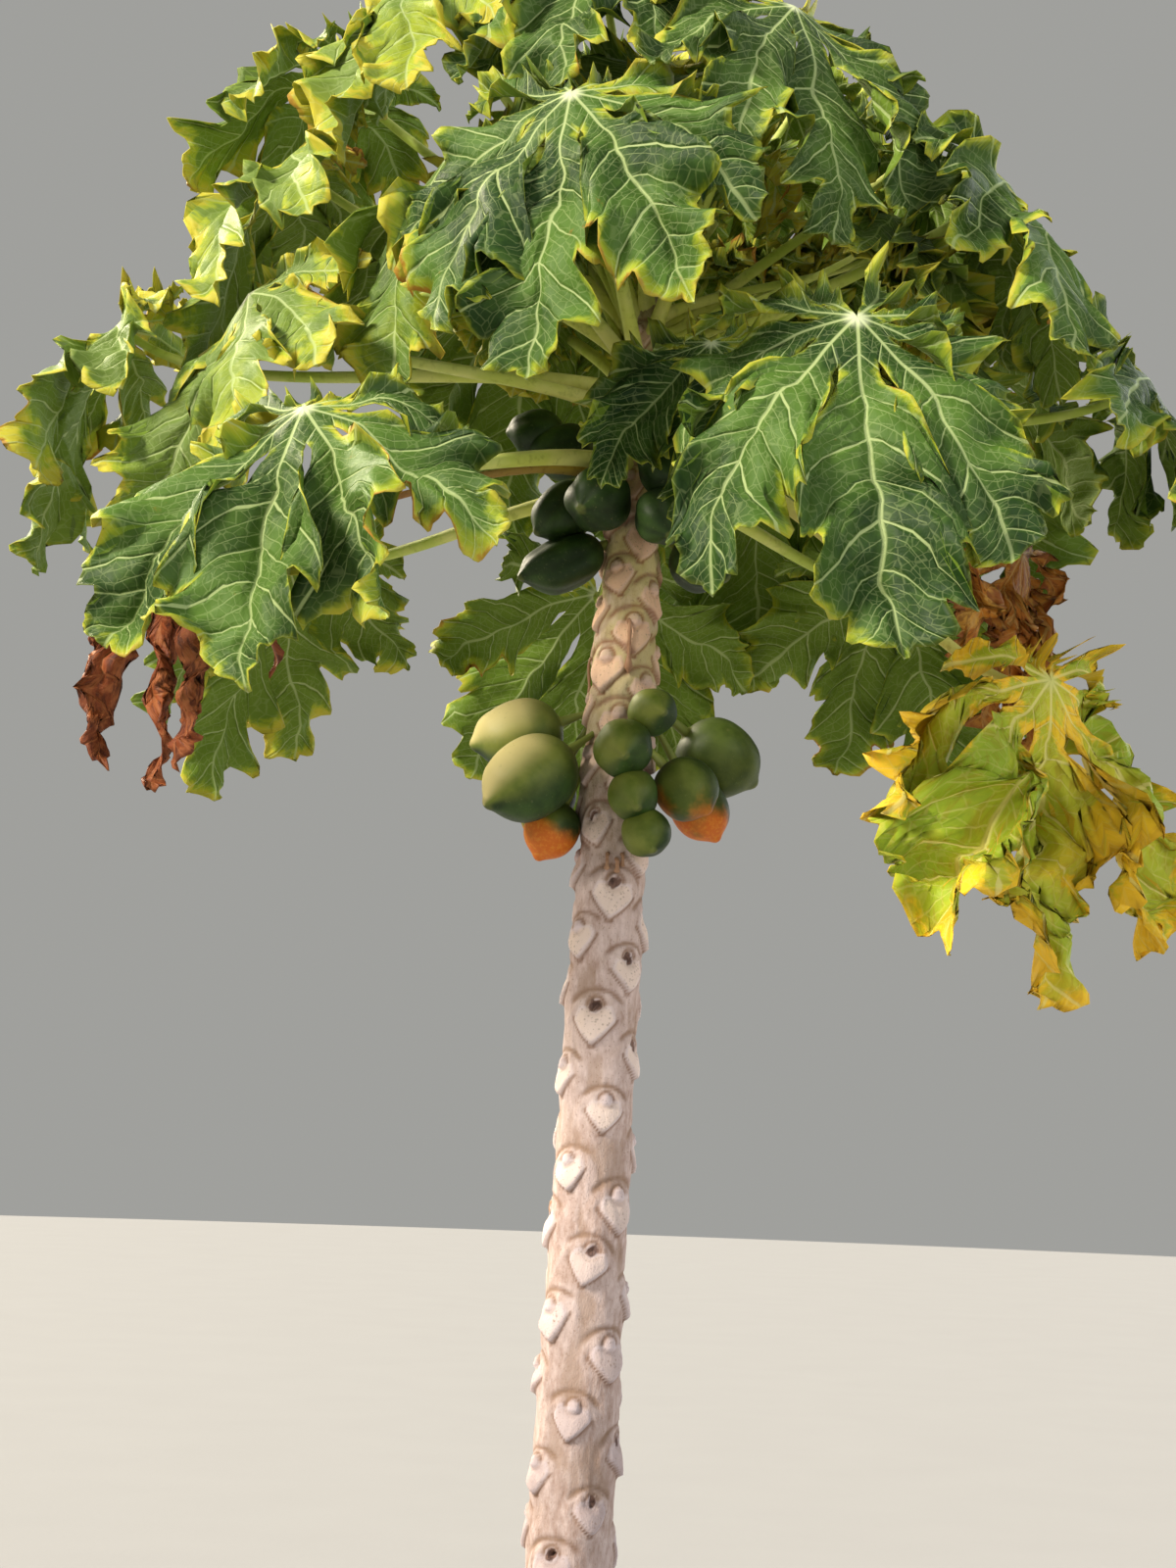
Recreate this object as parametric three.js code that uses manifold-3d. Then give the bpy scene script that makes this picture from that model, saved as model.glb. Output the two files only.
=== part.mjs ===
// A fruiting papaya tree, rooted in level ground: one leaning trunk, a crown of big palmate leaves on
// long petioles, and two clusters of fruit on the trunk below them.
// Millimetres, +Z up. The origin is the middle of the flat cut at ground level. The tree is usually seen
// from -Y, and azimuths turn from +X towards +Y.
import * as THREE from "three";
import { mergeVertices } from "three/addons/utils/BufferGeometryUtils.js";
import Module from "manifold-3d";

const wasm = await Module();
wasm.setup();

const radians = Math.PI / 180;
const upward = new THREE.Vector3(0, 0, 1);

// Space kept between solids that touch on the real tree
const clearance = 0.3;

// Trunk: height and radius from the root flare to the growing tip, and the lean towards +X
const trunkProfile = [
  [0, 101],
  [90, 84],
  [300, 74],
  [1000, 65],
  [1700, 58.5],
  [2300, 50],
  [2500, 43],
  [2750, 36],
  [2900, 28],
  [2960, 12],
];
const lean = { slope: 0.0185, curve: 3e-6 };
const trunkSides = 20;
const trunkRingStep = 100;
const crownCentre = 72; // where the hubs of the leaves are measured from, along +X

// Petioles: each is one tapering limb from the trunk to the hub of its blade
const petiole = {
  baseRadius: 14, // of a leaf whose middle lobe has the usual length
  tipRadius: 6.5,
  usualLobe: 450,
  sides: 6,
  segments: 7,
  arch: 11, // how much steeper than its chord a fresh petiole leaves the trunk
  leaving: { dead: 14, withered: 33, yellow: 28 }, // angle above the level where an old one leaves it
};

// Blade: nine lobes by angle from the middle one, each with its share of the middle one's length
const lobes = [
  { angle: -150, share: 0.34, teeth: 1 },
  { angle: -118, share: 0.52, teeth: 1 },
  { angle: -81, share: 0.74, teeth: 2 },
  { angle: -41, share: 0.9, teeth: 2 },
  { angle: 0, share: 1, teeth: 2 },
  { angle: 41, share: 0.9, teeth: 2 },
  { angle: 81, share: 0.74, teeth: 2 },
  { angle: 118, share: 0.52, teeth: 1 },
  { angle: 150, share: 0.34, teeth: 1 },
];
const freeEdge = 18; // angle that the two rear lobes fill on their free side
const sinus = 0.19; // how far out the blade stays whole between two lobes, as a share of the shorter
// Where a tooth or a notch starts on the midrib and how far it stands out along a side vein, as shares of
// the lobe's length
const veinAngle = 45;
const waist = { foot: 0.31, reach: 0.08 };
const firstTooth = { foot: 0.38, reach: 0.31 };
const notch = { foot: 0.53, reach: 0.1 };
const secondTooth = { foot: 0.62, reach: 0.22 };
const onlyTooth = { foot: 0.46, reach: 0.25 };
const thickness = 6.8;
const cone = 0.25; // how far the lobes slope back from the hub at once, like an umbrella's ribs
const bendSteps = 10;
const unevenDroop = 0.3;

// A lobe that would meet another part of the tree is made shorter, step by step
const shorten = { step: 0.88, least: 0.3 };

// How much narrower a lobe gets when the leaf withers
const widths = { fresh: 1, yellow: 0.9, withered: 0.6, dead: 0.55 };

// Leaves, oldest first: azimuth of the petiole, distance and height of the blade's hub, height where the
// petiole leaves the trunk, length of the middle lobe, tilt of the blade below the level, turn of the
// blade about the vertical, droop of the lobes, and state
const leaves = [
  [-148, 790, 2430, 2632, 390, 82, 26, 7, "dead"],
  [2, 615, 2550, 2676, 370, 82, -40, 6, "withered"],
  [-23, 655, 2290, 2650, 480, 76, -36, 3, "yellow"],
  [-133, 685, 2580, 2660, 480, 46, 20, 1.4, "fresh"],
  [-63, 615, 2720, 2715, 510, 56, -24, 1.3, "fresh"],
  [150, 690, 2610, 2625, 460, 48, 0, 1.4, "fresh"],
  [46, 700, 2640, 2640, 460, 48, 0, 1.4, "fresh"],
  [95, 660, 2620, 2660, 470, 48, 0, 1.4, "fresh"],
  [174, 860, 2900, 2780, 450, 50, 10, 1.4, "fresh"],
  [-4, 800, 2820, 2710, 450, 52, -10, 1.3, "fresh"],
  [-169, 625, 2885, 2742, 430, 52, 20, 1.3, "fresh"],
  [-72, 310, 2768, 2765, 320, 52, -24, 1.3, "fresh"],
  [25, 650, 2935, 2740, 430, 50, 0, 1.3, "fresh"],
  [70, 620, 2890, 2730, 460, 46, 0, 1.4, "fresh"],
  [110, 560, 3140, 2756, 460, 44, 0, 1.4, "fresh"],
  [-104, 495, 3060, 2790, 450, 56, -6, 1.2, "fresh"],
  [-20, 585, 3070, 2785, 450, 50, 6, 1.4, "fresh"],
  [-146, 370, 3085, 2800, 430, 48, 0, 1.3, "fresh"],
  [174, 590, 3190, 2826, 430, 42, 12, 1.4, "fresh"],
  [9, 445, 3240, 2830, 390, 44, -12, 1.4, "fresh"],
  [-60, 405, 3270, 2845, 420, 48, 0, 1.3, "fresh"],
  [155, 610, 3450, 2860, 420, 38, 0, 1.4, "fresh"],
  [52, 430, 3440, 2872, 400, 34, 0, 1.4, "fresh"],
  [-112, 240, 3420, 2910, 380, 32, 0, 1.4, "fresh"],
  [-166, 390, 3440, 2880, 380, 42, 16, 1.3, "fresh"],
  [100, 260, 3430, 2910, 400, 30, 0, 1.4, "fresh"],
].map(([azimuth, out, height, root, lobe, tilt, turn, droop, state]) => ({
  azimuth,
  out,
  height,
  root,
  lobe,
  tilt,
  turn,
  droop,
  state,
}));

// Fruit: outline along its length as shares of the length and of half the width, shoulder to point
const fruitOutline = [
  [0.03, 0.38],
  [0.14, 0.76],
  [0.38, 1],
  [0.64, 0.9],
  [0.84, 0.56],
  [0.95, 0.22],
];
const fruitSides = 8;
const fruitPoint = 1.5;
const stalkRadius = 6;

// Fruit by the piece it belongs to, where neighbours that press on each other share a piece: azimuth,
// distance from the trunk's axis and height of the middle of the fruit, dip of its point below the level,
// length, width, and how ripe it is
const fruitPieces = {
  fruit_upper_1: ["green", [171, 128, 2690, 20, 112, 92], [168, 172, 2722, 8, 96, 80]],
  fruit_upper_2: [
    "green",
    [-122, 118, 2578, 35, 114, 100],
    [-168, 122, 2576, 45, 112, 94],
    [-165, 118, 2492, 30, 150, 88],
  ],
  fruit_upper_3: ["green", [-66, 108, 2633, 40, 108, 90], [-70, 116, 2552, 50, 100, 86]],
  fruit_upper_4: ["green", [-4, 110, 2508, 35, 104, 94], [14, 112, 2592, 40, 124, 98]],
  fruit_lower_1: [
    "pale",
    [178, 164, 2222, 22, 150, 116],
    [-152, 160, 2142, 38, 172, 124],
    [166, 122, 2130, 60, 108, 92],
    [-176, 104, 2076, 66, 98, 84],
  ],
  fruit_lower_2: [
    "green",
    [-88, 118, 2190, 30, 94, 90],
    [-66, 116, 2250, 20, 80, 74],
    [-78, 112, 2120, 40, 84, 78],
    [-66, 112, 2064, 50, 80, 74],
  ],
  fruit_lower_3: [
    "ripe",
    [-30, 122, 2138, 45, 108, 96],
    [3, 128, 2118, 60, 106, 90],
    [18, 168, 2204, 35, 146, 126],
  ],
};

// Colours and roughness of the materials, by what they cover
const finishes = {
  bark: [0xbfa18c, 0.88],
  petiole: [0xb4bf6a, 0.55],
  fresh: [0x3c6b3c, 0.5],
  yellow: [0xd3a62f, 0.6],
  withered: [0xb4642e, 0.8],
  dead: [0x8a4a2c, 0.85],
  green: [0x3f5a34, 0.45],
  pale: [0x8d9d62, 0.45],
  ripe: [0xb98a3e, 0.45],
};

function axisAt(height) {
  return new THREE.Vector3((lean.slope + lean.curve * height) * height, 0, height);
}

function trunkRadiusAt(height) {
  const above = Math.max(1, trunkProfile.findIndex(([h]) => h >= height));
  const [lowHeight, lowRadius] = trunkProfile[above - 1];
  const [highHeight, highRadius] = trunkProfile[above];
  return THREE.MathUtils.mapLinear(height, lowHeight, highHeight, lowRadius, highRadius);
}

function geometryOf(corners, faces) {
  const geometry = new THREE.BufferGeometry().setFromPoints(corners);
  geometry.setIndex(faces.flat());
  return geometry;
}

// A turned body round +Z from pairs of height and radius, closed with flat ends
function turned(profile, sides) {
  const points = profile.map(([height, radius]) => new THREE.Vector2(radius, height));
  const ends = [points[0], points.at(-1)].map(({ y }) => new THREE.Vector2(0, y));
  return new THREE.LatheGeometry([ends[0], ...points, ends[1]], sides).rotateX(Math.PI / 2);
}

// The trunk, bent to its lean, or a copy made bigger all round for cutting what leaves it
function trunkGeometry(extra) {
  const tip = trunkProfile.at(-1)[0];
  const profile = [];
  for (const [index, [height, radius]] of trunkProfile.entries()) {
    profile.push([height === tip ? tip + extra : height, radius + extra]);
    const next = trunkProfile[index + 1] ?? [height];
    const stop = next[0] - trunkRingStep / 3;
    for (let between = height + trunkRingStep; between < stop; between += trunkRingStep) {
      profile.push([between, trunkRadiusAt(between) + extra]);
    }
  }
  const geometry = turned(profile, trunkSides);
  const places = geometry.getAttribute("position");
  for (let index = 0; index < places.count; index += 1) {
    places.setX(index, places.getX(index) + axisAt(places.getZ(index)).x);
  }
  return geometry;
}

function solidOf(geometry) {
  const bare = geometry.index ? geometry.toNonIndexed() : geometry.clone();
  bare.deleteAttribute("normal");
  bare.deleteAttribute("uv");
  const merged = mergeVertices(bare, 1e-3);
  return new wasm.Manifold(
    new wasm.Mesh({
      numProp: 3,
      vertProperties: merged.attributes.position.array,
      triVerts: new Uint32Array(merged.index.array),
    }),
  );
}

function geometryFrom(solid) {
  const made = solid.getMesh();
  const geometry = new THREE.BufferGeometry();
  geometry.setAttribute("position", new THREE.BufferAttribute(made.vertProperties, 3));
  geometry.setIndex(new THREE.BufferAttribute(made.triVerts, 1));
  return geometry;
}

// Places a blade: its own X runs along the middle lobe, Y across it and Z out of its upper side
function placeBlade(leaf) {
  const azimuth = leaf.azimuth * radians;
  const facing = (leaf.azimuth + leaf.turn) * radians;
  leaf.place = new THREE.Object3D();
  const [east, north] = [Math.cos(azimuth), Math.sin(azimuth)];
  leaf.place.position.set(crownCentre + leaf.out * east, leaf.out * north, leaf.height);
  leaf.place.rotation.set(0, leaf.tilt * radians, facing, "ZYX");
  leaf.place.updateMatrix();
  leaf.face = new THREE.Vector3(0, 0, 1).applyQuaternion(leaf.place.quaternion);
  leaf.down = new THREE.Vector3(0, 0, -1).applyQuaternion(leaf.place.quaternion.clone().invert());
}

// Way that the blade runs at a distance from its hub: the lobes start as the ribs of a shallow umbrella
// and bend down under their own weight
function wayAt(leaf, distance, angle) {
  const droop = leaf.droop * (1 + unevenDroop * Math.sin(2 * angle + leaf.number));
  return new THREE.Vector3(Math.cos(angle), Math.sin(angle), -cone)
    .addScaledVector(leaf.down, droop * (distance / leaf.lobe) ** 1.4)
    .normalize();
}

function spotAt(leaf, distance, angle) {
  const spot = new THREE.Vector3();
  for (let step = 0; step < bendSteps; step += 1) {
    spot.addScaledVector(wayAt(leaf, (distance * (step + 0.5)) / bendSteps, angle), distance / bendSteps);
  }
  return spot;
}

// Upper and lower corner of the blade at a distance and an angle from its hub
function bladeCorners(leaf, distance, angle) {
  const spot = spotAt(leaf, distance, angle);
  const normal = new THREE.Vector3(0, 0, 1);
  if (distance > 0) {
    const swung = spotAt(leaf, distance, angle + 0.01).sub(spotAt(leaf, distance, angle - 0.01));
    normal.crossVectors(wayAt(leaf, distance, angle), swung).normalize();
  }
  return [thickness / 2, -thickness / 2].map((rise) => spot.clone().addScaledVector(normal, rise));
}

// One closed blade of the lobes asked for, each made as long as its entry in cuts says
function bladeGeometry(leaf, cuts, chosen) {
  const uppers = [];
  const lowers = [];
  const known = new Map();
  const corner = (distance, angle) => {
    const key = distance.toFixed(3) + "/" + (distance ? angle.toFixed(5) : "hub");
    if (!known.has(key)) {
      known.set(key, uppers.length);
      const [upper, lower] = bladeCorners(leaf, distance, angle);
      uppers.push(upper);
      lowers.push(lower);
    }
    return known.get(key);
  };
  const width = widths[leaf.state];
  const lengthOf = (index) => leaf.lobe * lobes[index].share * cuts[index];
  const faces = [];
  for (const index of chosen) {
    const lobe = lobes[index];
    const length = lengthOf(index);
    const middle = lobe.angle * radians;
    const hub = corner(0, 0);
    const rib = (share) => corner(length * share, middle);
    for (const side of [1, -1]) {
      const next = lobes[index + side];
      const joined = next && chosen.includes(index + side);
      const between = next ? ((lobe.angle + next.angle) / 2) * radians : middle + side * freeEdge * radians;
      const valley = corner(sinus * (joined ? Math.min(length, lengthOf(index + side)) : length), between);
      const tooth = ({ foot, reach }) => {
        const along = length * (foot + reach * Math.cos(veinAngle * radians));
        const aside = length * reach * Math.sin(veinAngle * radians) * width;
        return corner(Math.hypot(along, aside), middle + side * Math.atan2(aside, along));
      };
      const add = (a, b, c) => faces.push(side > 0 ? [a, b, c] : [a, c, b]);
      if (lobe.teeth === 2) {
        const [narrow, first, gap, second] = [waist, firstTooth, notch, secondTooth].map(tooth);
        const [near, far] = [rib(0.38), rib(0.62)];
        add(hub, near, valley);
        add(near, narrow, valley);
        add(near, gap, narrow);
        add(narrow, gap, first);
        add(near, far, gap);
        add(far, second, gap);
        add(far, rib(1), second);
      } else {
        const only = tooth(onlyTooth);
        const near = rib(0.45);
        add(hub, near, valley);
        add(near, only, valley);
        add(near, rib(1), only);
      }
    }
  }
  return thickened(uppers, lowers, faces);
}

// Closes a sheet of upper and lower corners with a wall along every edge that only one face uses
function thickened(uppers, lowers, faces) {
  const count = uppers.length;
  const edgesOf = ([a, b, c]) => [
    [a, b],
    [b, c],
    [c, a],
  ];
  const used = new Set(faces.flatMap(edgesOf).map(([from, to]) => from + ">" + to));
  const closed = faces.flatMap(([a, b, c]) => [
    [a, b, c],
    [c + count, b + count, a + count],
  ]);
  for (const [from, to] of faces.flatMap(edgesOf)) {
    if (!used.has(to + ">" + from)) closed.push([to, from, from + count], [to, from + count, to + count]);
  }
  return geometryOf([...uppers, ...lowers], closed);
}

// A ring of corners round a point, square to a direction
function ringRound(centre, along, radius, sides) {
  const side = new THREE.Vector3().crossVectors(upward, along).normalize();
  const rise = new THREE.Vector3().crossVectors(along, side).normalize();
  return Array.from({ length: sides }, (_, corner) => {
    const angle = (2 * Math.PI * corner) / sides;
    return centre
      .clone()
      .addScaledVector(side, radius * Math.cos(angle))
      .addScaledVector(rise, radius * Math.sin(angle));
  });
}

// A closed skin round a row of rings that all hold the same number of corners
function skinned(rings) {
  const sides = rings[0].length;
  const faces = [];
  for (let ring = 0; ring + 1 < rings.length; ring += 1) {
    for (let side = 0; side < sides; side += 1) {
      const here = ring * sides + side;
      const beside = ring * sides + ((side + 1) % sides);
      faces.push([here, beside, beside + sides], [here, beside + sides, here + sides]);
    }
  }
  const last = (rings.length - 1) * sides;
  for (let side = 1; side + 1 < sides; side += 1) {
    faces.push([0, side + 1, side], [last, last + side, last + side + 1]);
  }
  return geometryOf(rings.flat(), faces);
}

// A petiole from the trunk's axis to just under the hub; its last ring lies along the blade
function petioleGeometry(leaf) {
  const azimuth = leaf.azimuth * radians;
  const size = leaf.lobe / petiole.usualLobe;
  const start = axisAt(leaf.root);
  const gap = thickness / 2 + clearance + cone * petiole.tipRadius * 1.3;
  const end = leaf.place.position.clone().addScaledVector(leaf.face, -gap);
  const span = end.clone().sub(start);
  const third = span.length() / 3;
  const slope = Math.atan2(span.z, Math.hypot(span.x, span.y)) / radians;
  const leave = (petiole.leaving[leaf.state] ?? slope + petiole.arch) * radians;
  const leaving = new THREE.Vector3(
    Math.cos(azimuth) * Math.cos(leave),
    Math.sin(azimuth) * Math.cos(leave),
    Math.sin(leave),
  );
  const curve = new THREE.CubicBezierCurve3(
    start,
    start.clone().addScaledVector(leaving, third),
    end.clone().addScaledVector(leaf.face, -third * 0.8),
    end,
  );
  const rings = Array.from({ length: petiole.segments + 1 }, (_, ring) => {
    const share = ring / petiole.segments;
    const radius = THREE.MathUtils.lerp(petiole.baseRadius, petiole.tipRadius, share ** 0.8) * size;
    const along = ring === petiole.segments ? leaf.face : curve.getTangent(share);
    return ringRound(curve.getPoint(share), along, radius, petiole.sides);
  });
  return skinned(rings);
}

// A fruit with its stalk, turned about a ray from the trunk's axis
function fruitGeometry([azimuth, out, height, dip, length, width]) {
  const slope = Math.tan(dip * radians);
  const shoulder = Math.hypot(out, out * slope) - length / 2;
  const profile = [
    [0, stalkRadius],
    [shoulder, stalkRadius],
    ...fruitOutline.map(([share, part]) => [shoulder + share * length, (part * width) / 2]),
    [shoulder + length, fruitPoint],
  ];
  const place = new THREE.Object3D();
  place.position.copy(axisAt(height + out * slope));
  place.rotation.set(0, (90 + dip) * radians, azimuth * radians, "ZYX");
  place.updateMatrix();
  return turned(profile, fruitSides).applyMatrix4(place.matrix);
}

function meets(solid, others) {
  return others.some((other) => solid.intersect(other).volume() > 0);
}

const tree = new THREE.Group();
const stemPart = new THREE.Group();
const fruitPart = new THREE.Group();
const crownPart = new THREE.Group();
tree.add(stemPart, fruitPart, crownPart);

const placed = [];
function addPiece(parent, name, finish, geometry, place) {
  const flat = geometry.index ? geometry.toNonIndexed() : geometry;
  flat.computeVertexNormals();
  const [color, roughness] = finishes[finish];
  const mesh = new THREE.Mesh(flat, new THREE.MeshStandardMaterial({ color, roughness, metalness: 0 }));
  mesh.name = name;
  if (place) {
    mesh.position.copy(place.position);
    mesh.quaternion.copy(place.quaternion);
  }
  mesh.updateMatrix();
  placed.push(solidOf(flat.clone().applyMatrix4(mesh.matrix)));
  parent.add(mesh);
}

addPiece(stemPart, "trunk", "bark", trunkGeometry(0));
const trunkCutter = solidOf(trunkGeometry(clearance));

for (const [name, [ripeness, ...fruits]] of Object.entries(fruitPieces)) {
  const solids = fruits.map((row) => solidOf(fruitGeometry(row)));
  const joined = solids.reduce((whole, solid) => whole.add(solid));
  addPiece(fruitPart, name, ripeness, geometryFrom(joined.subtract(trunkCutter)));
}

const nameOf = (part, leaf) => part + "_" + String(leaf.number).padStart(2, "0");
leaves.forEach((leaf, index) => {
  leaf.number = index + 1;
  placeBlade(leaf);
  const stalk = solidOf(petioleGeometry(leaf)).subtract(trunkCutter);
  addPiece(crownPart, nameOf("petiole", leaf), "petiole", geometryFrom(stalk));
});

for (const leaf of leaves) {
  const cuts = lobes.map(() => 1);
  const every = lobes.map((_, index) => index);
  const lobed = (chosen) => bladeGeometry(leaf, cuts, chosen);
  const crowded = (chosen) => meets(solidOf(lobed(chosen).applyMatrix4(leaf.place.matrix)), placed);
  if (crowded(every)) {
    for (const index of every) {
      while (cuts[index] > shorten.least && crowded([index])) cuts[index] *= shorten.step;
    }
  }
  addPiece(crownPart, nameOf("blade", leaf), leaf.state, lobed(every), leaf.place);
}

export default tree;
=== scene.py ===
import math
from functools import lru_cache
from math import radians
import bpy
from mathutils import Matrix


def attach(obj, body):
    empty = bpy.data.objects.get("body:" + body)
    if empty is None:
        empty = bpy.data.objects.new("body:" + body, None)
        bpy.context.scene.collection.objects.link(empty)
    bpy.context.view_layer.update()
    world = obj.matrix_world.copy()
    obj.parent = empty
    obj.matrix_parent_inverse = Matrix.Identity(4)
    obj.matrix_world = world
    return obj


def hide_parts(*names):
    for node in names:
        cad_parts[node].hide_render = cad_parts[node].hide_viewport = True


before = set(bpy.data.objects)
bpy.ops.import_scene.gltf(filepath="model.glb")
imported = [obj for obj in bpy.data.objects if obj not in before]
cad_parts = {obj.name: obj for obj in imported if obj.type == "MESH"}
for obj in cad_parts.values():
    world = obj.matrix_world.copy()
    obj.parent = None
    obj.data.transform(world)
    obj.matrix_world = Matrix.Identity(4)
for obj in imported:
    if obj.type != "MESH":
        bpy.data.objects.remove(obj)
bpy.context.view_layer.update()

from types import SimpleNamespace

import bmesh
import bpy
import numpy as np
from mathutils import Matrix, Vector

# A fruiting papaya tree in metres, +Z up, seen from -Y: bark, limbs, blades and fruit on the frame's places


def ease(low, high, value):
    share = np.clip((value - low) / (high - low), 0, 1)
    return share * share * (3 - 2 * share)


def bump(value, middle, spread):
    return np.exp(-(((value - middle) / spread) ** 2))


def unit(vectors):
    return vectors / (np.linalg.norm(vectors, axis=-1, keepdims=True) + 1e-12)


# Places or facts from their parts, each an array or one number
def together(*parts):
    return np.stack(np.broadcast_arrays(*parts), -1)


# One long list from several grids
def joined(grids):
    return np.concatenate([grid.reshape(-1, grid.shape[-1]) for grid in grids])


# Smooth noise of about -1 to 1 from a dozen waves that run in all directions
def ripple(points, size, seed):
    waves = 12
    chance = np.random.default_rng(seed)
    ways = unit(chance.normal(size=(waves, 3)))
    ways *= (2 * math.pi / (size * chance.uniform(0.6, 1.7, waves)))[:, None]
    heights = np.sin(points @ ways.T + chance.uniform(0, 2 * math.pi, waves))
    return heights.sum(-1) * 1.4 / math.sqrt(2 * waves)


# Meshes

def addObject(name, content):
    thing = bpy.data.objects.new(name, content)
    bpy.context.scene.collection.objects.link(thing)
    return thing


# Builds one piece from parts: corners, faces, bake map and the facts that the material reads, three numbers
# for each corner
def makePiece(name, parts, factNames, material, slot, stands=(), weld=2e-6):
    corners, faces, mapping, *facts = map(joined, zip(*parts))
    mesh = bpy.data.meshes.new(name)
    mesh.from_pydata(corners.tolist(), [], faces.tolist())
    for key, values in zip(factNames, facts):
        layer = mesh.attributes.new(key, "FLOAT_VECTOR", "POINT")
        layer.data.foreach_set("vector", values.astype(np.float32).ravel())
    layer = mesh.uv_layers.new(name="OFBake")
    layer.data.foreach_set("uv", mapping.astype(np.float32).ravel())
    work = bmesh.new()
    work.from_mesh(mesh)
    bmesh.ops.remove_doubles(work, verts=work.verts, dist=weld)
    work.to_mesh(mesh)
    work.free()
    mesh.shade_smooth()
    mesh.materials.append(material)
    piece = addObject(name, mesh)
    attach(piece, "root")
    if stands:
        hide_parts(*stands)


# Ring number and angle at each corner of a tube
def ringGrid(rings, sides):
    ring, side = np.indices((rings, sides))
    return ring, 2 * math.pi * side / sides


# Faces and bake map of a tube, one of several in its piece, with its map in columns beside each other
def tubeFaces(rings, sides, columns=1, number=0, count=1):
    ring, side = np.indices((rings - 1, sides))
    start = (number * rings + ring) * sides
    here, beside = start + side, start + (side + 1) % sides
    perColumn = math.ceil((rings - 1) / columns)
    column = ring // perColumn
    across = together(side, side + 1, side + 1, side) / sides
    along = together(ring, ring, ring + 1, ring + 1) - (column * perColumn)[..., None]
    u = (number + (column[..., None] + 0.01 + across * 0.98) / columns) / count
    v = 0.004 + 0.992 * along / perColumn
    return together(here, beside, beside + sides, here + sides), together(u, v)


# Materials

# A shader socket that takes part in Python arithmetic
class Wire:
    def __init__(self, tree, socket):
        self.tree = tree
        self.socket = socket
        self.wide = socket.type in ("VECTOR", "RGBA")

    def add(self, kind, sockets=None, out=0, **settings):
        node = self.tree.nodes.new("ShaderNode" + kind)
        for key, value in settings.items():
            setattr(node, key, value)
        for key, value in (sockets or {}).items():
            target = node.inputs[key]
            if isinstance(value, Wire):
                self.tree.links.new(value.socket, target)
            elif target.type == "RGBA":
                target.default_value = (*value, 1)[:4]
            else:
                target.default_value = value
        return Wire(self.tree, node.outputs[out])

    def join(self, what, other, turned=False):
        pair = [other, self] if turned else [self, other]
        if not (self.wide or getattr(other, "wide", False) or isinstance(other, tuple)):
            return self.add("Math", dict(enumerate(pair)), operation=what)
        pair = [(part,) * 3 if isinstance(part, (int, float)) else part for part in pair]
        return self.add("VectorMath", dict(enumerate(pair)), operation=what)

    def __add__(self, other):
        return self.join("ADD", other)

    def __sub__(self, other):
        return self.join("SUBTRACT", other)

    def __mul__(self, other):
        return self.join("MULTIPLY", other)

    def __rsub__(self, other):
        return self.join("SUBTRACT", other, True)

    __radd__ = __add__
    __rmul__ = __mul__

    def __abs__(self):
        return self.add("Math", {0: self}, operation="ABSOLUTE")

    def atMost(self, other):
        return self.join("MINIMUM", other)

    def atLeast(self, other):
        return self.join("MAXIMUM", other)

    # 0 below the first edge and 1 past the second, smooth between, in either order
    def ease(self, low, high):
        sockets = {"Value": self, "From Min": low, "From Max": high}
        return self.add("MapRange", sockets, interpolation_type="SMOOTHSTEP")

    # Distance from the nearest whole number
    def fromWhole(self):
        return abs(self - self.add("Math", {0: self}, operation="ROUND"))

    def parts(self):
        node = self.add("SeparateXYZ", {0: self})
        return [Wire(self.tree, socket) for socket in node.socket.node.outputs]

    def noise(self, scale, detail=3, rough=0.55, stretch=(1, 1, 1)):
        sockets = {"Vector": self * stretch, "Scale": scale, "Detail": detail, "Roughness": rough}
        return self.add("TexNoise", sockets)

    def cells(self, scale, feature="DISTANCE_TO_EDGE"):
        return self.add("TexVoronoi", {"Vector": self, "Scale": scale}, feature=feature)


# A colour that goes from one to another by a factor
def blend(factor, one, other):
    wire = next(part for part in (factor, one, other) if isinstance(part, Wire))
    return wire.add("Mix", {0: factor, 6: one, 7: other}, out=2, data_type="RGBA")


# Lays tints of a look over a colour, one after another, each through its own mask
def tinted(colour, look, *coats):
    for mask, tint in coats:
        colour = blend(mask, colour, look[tint])
    return colour


# The paint gives a colour, a roughness and the height of the fine relief
def newMaterial(name, paint, specular=0.4, bumpDepth=0.001):
    material = bpy.data.materials.new(name)
    material.use_nodes = True
    tree = material.node_tree
    shader = tree.nodes["Principled BSDF"]
    shader.inputs["Specular IOR Level"].default_value = specular
    start = Wire(tree, tree.nodes.new("ShaderNodeTexCoord").outputs["Object"])

    def fact(key):
        return start.add("Attribute", out="Vector", attribute_name=key)

    colour, rough, height = paint(start, fact)
    tree.links.new(colour.socket, shader.inputs["Base Color"])
    if isinstance(rough, Wire):
        tree.links.new(rough.socket, shader.inputs["Roughness"])
    else:
        shader.inputs["Roughness"].default_value = rough
    relief = height.add("Bump", {"Height": height, "Distance": bumpDepth, "Strength": 1.0})
    tree.links.new(relief.socket, shader.inputs["Normal"])
    return material


# Trunk

spiralTurn = 137.5  # degrees from one leaf to the next

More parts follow.
